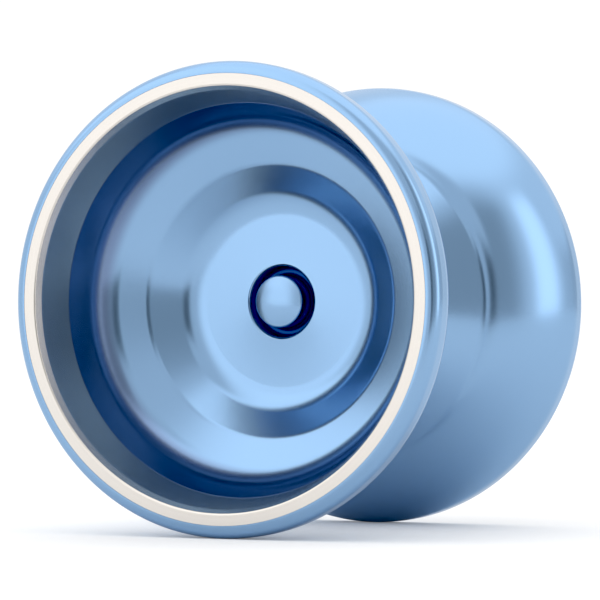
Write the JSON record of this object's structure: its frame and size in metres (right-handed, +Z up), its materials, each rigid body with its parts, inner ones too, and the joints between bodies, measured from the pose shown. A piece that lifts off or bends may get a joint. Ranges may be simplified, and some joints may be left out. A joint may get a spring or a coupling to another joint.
{
  "type": "yo-yo",
  "caption": "Two-metal yo-yo: blue anodised halves with pressed steel weight rings, joined by an axle screw through a shielded ball bearing, with silicone response pads in the string gap.",
  "frame": {"origin": "middle of the string gap, on the axle line", "axes": "+Y along the axle line from the near half to the far half, +Z up"},
  "size_m": [0.056, 0.0456, 0.056],
  "materials": {
    "anodised_shell": "satin light blue anodised, fine turned lines",
    "turned_steel": "fine turned stainless steel",
    "silicone": "matt translucent white silicone",
    "blackened_steel": "black oxide",
    "bearing_steel": "ground and polished bearing steel",
    "cage_steel": "pressed steel",
    "shield_steel": "pressed and brushed steel"
  },
  "bodies": {
    "string_race": {"bearing_outer_race": "bearing_steel", "near_shield": "shield_steel", "far_shield": "shield_steel", "near_snap_ring": "cage_steel", "far_snap_ring": "cage_steel"},
    "spinning_halves": {"near_half": "anodised_shell", "far_half": "anodised_shell", "near_weight_ring": "turned_steel", "far_weight_ring": "turned_steel", "near_response_pad": "silicone", "far_response_pad": "silicone", "axle": "blackened_steel", "bearing_inner_race": "bearing_steel"},
    "ball_cage": {"bearing_cage": "cage_steel"},
    "ball_1": {"bearing_ball_1": "bearing_steel"},
    "ball_2": {"bearing_ball_2": "bearing_steel"},
    "ball_3": {"bearing_ball_3": "bearing_steel"},
    "ball_4": {"bearing_ball_4": "bearing_steel"},
    "ball_5": {"bearing_ball_5": "bearing_steel"},
    "ball_6": {"bearing_ball_6": "bearing_steel"},
    "ball_7": {"bearing_ball_7": "bearing_steel"},
    "ball_8": {"bearing_ball_8": "bearing_steel"}
  },
  "joints": [
    {"name": "halves_spin", "type": "hinge", "parent": "string_race", "child": "spinning_halves", "pos_m": [0, 0, 0], "axis": [0, 1, 0], "continuous": true},
    {"name": "cage_turn", "type": "hinge", "parent": "string_race", "child": "ball_cage", "pos_m": [0, 0, 0], "axis": [0, 1, 0], "continuous": true},
    {"name": "ball_1_roll", "type": "hinge", "parent": "ball_cage", "child": "ball_1", "pos_m": [0.00476, 0, 0], "axis": [0, 1, 0], "continuous": true},
    {"name": "ball_2_roll", "type": "hinge", "parent": "ball_cage", "child": "ball_2", "pos_m": [0.00337, 0, 0.00337], "axis": [0, 1, 0], "continuous": true},
    {"name": "ball_3_roll", "type": "hinge", "parent": "ball_cage", "child": "ball_3", "pos_m": [0, 0, 0.00476], "axis": [0, 1, 0], "continuous": true},
    {"name": "ball_4_roll", "type": "hinge", "parent": "ball_cage", "child": "ball_4", "pos_m": [-0.00337, 0, 0.00337], "axis": [0, 1, 0], "continuous": true},
    {"name": "ball_5_roll", "type": "hinge", "parent": "ball_cage", "child": "ball_5", "pos_m": [-0.00476, 0, 0], "axis": [0, 1, 0], "continuous": true},
    {"name": "ball_6_roll", "type": "hinge", "parent": "ball_cage", "child": "ball_6", "pos_m": [-0.00337, 0, -0.00337], "axis": [0, 1, 0], "continuous": true},
    {"name": "ball_7_roll", "type": "hinge", "parent": "ball_cage", "child": "ball_7", "pos_m": [0, 0, -0.00476], "axis": [0, 1, 0], "continuous": true},
    {"name": "ball_8_roll", "type": "hinge", "parent": "ball_cage", "child": "ball_8", "pos_m": [0.00337, 0, -0.00337], "axis": [0, 1, 0], "continuous": true}
  ],
  "couplings": [
    {"joint": "cage_turn", "follows": "halves_spin", "ratio": 0.39585},
    {"joint": "ball_1_roll", "follows": "halves_spin", "ratio": -2.2963},
    {"joint": "ball_2_roll", "follows": "halves_spin", "ratio": -2.2963},
    {"joint": "ball_3_roll", "follows": "halves_spin", "ratio": -2.2963},
    {"joint": "ball_4_roll", "follows": "halves_spin", "ratio": -2.2963},
    {"joint": "ball_5_roll", "follows": "halves_spin", "ratio": -2.2963},
    {"joint": "ball_6_roll", "follows": "halves_spin", "ratio": -2.2963},
    {"joint": "ball_7_roll", "follows": "halves_spin", "ratio": -2.2963},
    {"joint": "ball_8_roll", "follows": "halves_spin", "ratio": -2.2963}
  ]
}
